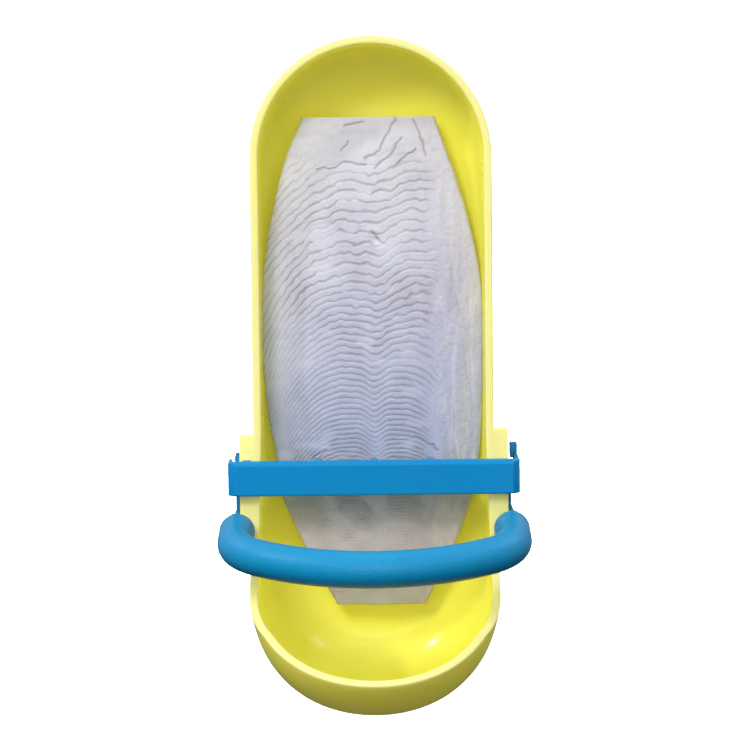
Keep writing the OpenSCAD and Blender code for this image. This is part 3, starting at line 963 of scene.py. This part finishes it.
def chalk():
    m, nt, b = new_material("cuttlebone_chalk")
    co = object_coord(nt)
    big = noise_node(nt, 42.0, 5.0, 0.6, coord=co)
    col = ramp(nt, big.outputs["Fac"], [(0.30, (0.600, 0.585, 0.665)), (0.50, (0.690, 0.680, 0.750)), (0.70, (0.755, 0.750, 0.800))]).outputs["Color"]
    spots = noise_node(nt, 160.0, 4.0, 0.65, coord=co)
    col = mix_col(nt, map_range(nt, spots.outputs["Fac"], 0.58, 0.80, 0.0, 0.28), col, (0.60, 0.55, 0.60))
    # painted shade: the grooves of the layer edges and stray edges are painted darker
    att = nt.nodes.new("ShaderNodeAttribute")
    att.attribute_name = "layer_edge_shade"
    col = mix_col(nt, math_node(nt, "MULTIPLY", att.outputs["Fac"], 0.85), col, (0.35, 0.31, 0.34))
    # painted shade and reflection: the slab is painted darker and bluer around the bar and at the bottom and palest at
    # the top, for the light falling off down the slab and the blue bar's reflection
    sp = nt.nodes.new("ShaderNodeSeparateXYZ")
    nt.links.new(co, sp.inputs["Vector"])
    painted_light_tone = ramp(nt, map_range(nt, sp.outputs["Z"], -0.095, 0.036, 0.0, 1.0),
                [(0.05, (0.74, 0.72, 0.74)), (0.15, (0.97, 0.90, 1.0)), (0.22, (0.72, 0.76, 0.92)), (0.34, (0.70, 0.78, 0.95)),
                 (0.60, (0.91, 0.93, 1.0)), (0.90, (1.0, 1.0, 1.0))])
    shade = nt.nodes.new("ShaderNodeMix")
    shade.data_type, shade.blend_type = "RGBA", "MULTIPLY"
    shade.inputs[0].default_value = 1.0
    nt.links.new(col, shade.inputs[6])
    nt.links.new(painted_light_tone.outputs["Color"], shade.inputs[7])
    col = shade.outputs[2]
    # painted shade: the right side of the slab is painted darker and more lavender, where it turns away from the light
    right = nt.nodes.new("ShaderNodeMapRange")
    right.interpolation_type = "SMOOTHSTEP"
    for key, v in (("From Min", 0.004), ("From Max", 0.026), ("To Min", 0.0), ("To Max", 1.0)):
        right.inputs[key].default_value = v
    nt.links.new(sp.outputs["X"], right.inputs["Value"])
    side = nt.nodes.new("ShaderNodeMix")
    side.data_type, side.blend_type = "RGBA", "MULTIPLY"
    nt.links.new(right.outputs["Result"], side.inputs[0])
    nt.links.new(col, side.inputs[6])
    side.inputs[7].default_value = (0.84, 0.82, 0.92, 1)
    col = side.outputs[2]
    # pale upright streaks on the smooth margin
    flat = nt.nodes.new("ShaderNodeMapping")
    flat.inputs["Scale"].default_value = (1.0, 1.0, 0.14)
    nt.links.new(co, flat.inputs["Vector"])
    streak = noise_node(nt, 300.0, 5.0, 0.62, coord=flat.outputs["Vector"], distortion=0.8)
    streak = math_node(nt, "MULTIPLY", map_range(nt, streak.outputs["Fac"], 0.50, 0.70, 0.0, 0.55), right.outputs["Result"])
    col = mix_col(nt, streak, col, (0.78, 0.76, 0.83))
    nt.links.new(col, b.inputs["Base Color"])
    b.inputs["Roughness"].default_value = 0.85
    b.inputs["Specular IOR Level"].default_value = 0.25
    fine = noise_node(nt, 1500.0, 4.0, 0.65, coord=co)
    mid = noise_node(nt, 420.0, 4.0, 0.6, coord=co)
    n1 = bump(nt, fine.outputs["Fac"], 0.35, 0.00025)
    n2 = bump(nt, mid.outputs["Fac"], 0.25, 0.0004, n1)
    nt.links.new(n2, b.inputs["Normal"])
    b.inputs["Subsurface Weight"].default_value = 0.0
    return m


def zinc():
    m, nt, b = new_material("zinc_plated_steel")
    co = object_coord(nt)
    big = noise_node(nt, 300.0, 4.0, 0.6, coord=co)
    col = ramp(nt, big.outputs["Fac"], [(0.3, (0.46, 0.46, 0.47)), (0.6, (0.58, 0.585, 0.60)), (0.8, (0.66, 0.65, 0.62))]).outputs["Color"]
    nt.links.new(col, b.inputs["Base Color"])
    b.inputs["Metallic"].default_value = 1.0
    nt.links.new(map_range(nt, big.outputs["Fac"], 0.3, 0.7, 0.28, 0.44), b.inputs["Roughness"])
    n = bump(nt, noise_node(nt, 2600.0, 3.0, 0.6, coord=co).outputs["Fac"], 0.15, 0.0001)
    nt.links.new(n, b.inputs["Normal"])
    return m


blue_tex, bone_mat, steel = textured_blue(), chalk(), zinc()
painted = plastic("painted_pin", (0.0, 0.16, 0.36), (0.0, 0.14, 0.33), (0.004, 0.18, 0.39), rough=0.38, fine=1500.0, fine_strength=0.08, spec=0.3)


def dress(obj, mat):
    obj.data.materials.clear()
    obj.data.materials.append(mat)


dress(shell, lime)
dress(bone, bone_mat)
dress(bar, blue)
dress(perch, blue_tex)
for b in brackets:
    dress(b, blue)
dress(bolt, steel)
for node, mat in (("hinge_pin", painted), ("hinge_pin_clip", steel), ("perch_screws", steel),
                  ("clamp_washer", steel), ("clamp_plate", blue), ("wing_nut", lime)):
    dress(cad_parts[node], mat)


# ---------------------------------------------------------------- floor and light
def build_floor():
    """One sweep: a level floor that curves up behind into a wall."""
    zf, depth, rise, r = Z0 * MM - 0.075, 1.1, 2.4, 0.9
    prof = [(-2.6, zf), (depth, zf)]
    prof += [(depth + r * math.sin(t), zf + r - r * math.cos(t)) for t in [math.pi / 2 * i / 40 for i in range(1, 41)]]
    prof += [(depth + r, zf + rise)]
    v, f = [], []
    for x in (-3.2, 3.2):
        v += [(x, y, z) for y, z in prof]
    n = len(prof)
    f = [(i, i + 1, n + i + 1, n + i) for i in range(n - 1)]
    o = mesh_object("studio_floor", v, f, to_row=False)
    for p in o.data.polygons:
        p.use_smooth = True
    m, nt, b = new_material("pale_floor")
    co = object_coord(nt)
    nz = noise_node(nt, 6.0, 3.0, 0.5, coord=co)
    nt.links.new(ramp(nt, nz.outputs["Fac"], [(0.3, (0.93, 0.93, 0.93)), (0.7, (0.95, 0.95, 0.95))]).outputs["Color"], b.inputs["Base Color"])
    b.inputs["Roughness"].default_value = 0.9
    dress(o, m)
    o.visible_glossy = False
    o.visible_diffuse = False             # its bounce is left to the sky below, so undersides keep their shade
    return o


build_floor()


def area(name, loc, aim, size, power, color=(1, 1, 1), size_y=None, spread=180):
    d = bpy.data.lights.new(name, "AREA")
    d.energy, d.size, d.color = power, size, color
    d.spread = math.radians(spread)
    if size_y:
        d.shape, d.size_y = "RECTANGLE", size_y
    o = bpy.data.objects.new(name, d)
    link(o)
    o.location = loc
    o.rotation_euler = (Vector(aim) - Vector(loc)).to_track_quat("-Z", "Y").to_euler()
    return o


mid = row(0, -20, 88)
key = area("key", (-0.40, -0.94, 0.66), mid, 0.30, 7.0)
key.visible_glossy = False                # the two small lights make the highlights
low = area("front_low", (0.0, -1.2, -0.30), mid, 0.5, 0.9)
low.visible_glossy = False
area("spark_left", (-0.80, -0.52, 0.76), mid, 0.055, 3.2)
area("spark_right", (0.80, -0.55, 0.74), mid, 0.06, 0.7)
area("front_fill", (0.0, -1.2, 0.44), mid, 0.6, 2.6)
area("top", (0.05, -0.1, 1.0), mid, 0.6, 0.6)
area("floor_wash_left", (-1.2, 0.9, 1.4), (0.1, 1.5, -0.1), 1.0, 34.0, spread=75)
area("floor_wash_right", (1.2, 0.9, 1.4), (-0.1, 1.5, -0.1), 1.0, 34.0, spread=75)

world = bpy.data.worlds.new("studio")
scene.world = world
world.use_nodes = True
wt = world.node_tree
bg = wt.nodes["Background"]
tc = wt.nodes.new("ShaderNodeTexCoord")
sep = wt.nodes.new("ShaderNodeSeparateXYZ")
wt.links.new(tc.outputs["Generated"], sep.inputs["Vector"])
sky = wt.nodes.new("ShaderNodeValToRGB")
sky.color_ramp.elements[0].position, sky.color_ramp.elements[0].color = 0.30, (0.06, 0.06, 0.065, 1)
sky.color_ramp.elements[1].position, sky.color_ramp.elements[1].color = 0.80, (0.70, 0.72, 0.76, 1)
horizon = sky.color_ramp.elements.new(0.48)
horizon.color = (0.45, 0.455, 0.47, 1)
half = wt.nodes.new("ShaderNodeMapRange")
half.inputs["From Min"].default_value, half.inputs["From Max"].default_value = -1.0, 1.0
wt.links.new(sep.outputs["Z"], half.inputs["Value"])
wt.links.new(half.outputs["Result"], sky.inputs["Fac"])
wt.links.new(sky.outputs["Color"], bg.inputs["Color"])
bg.inputs["Strength"].default_value = 0.8
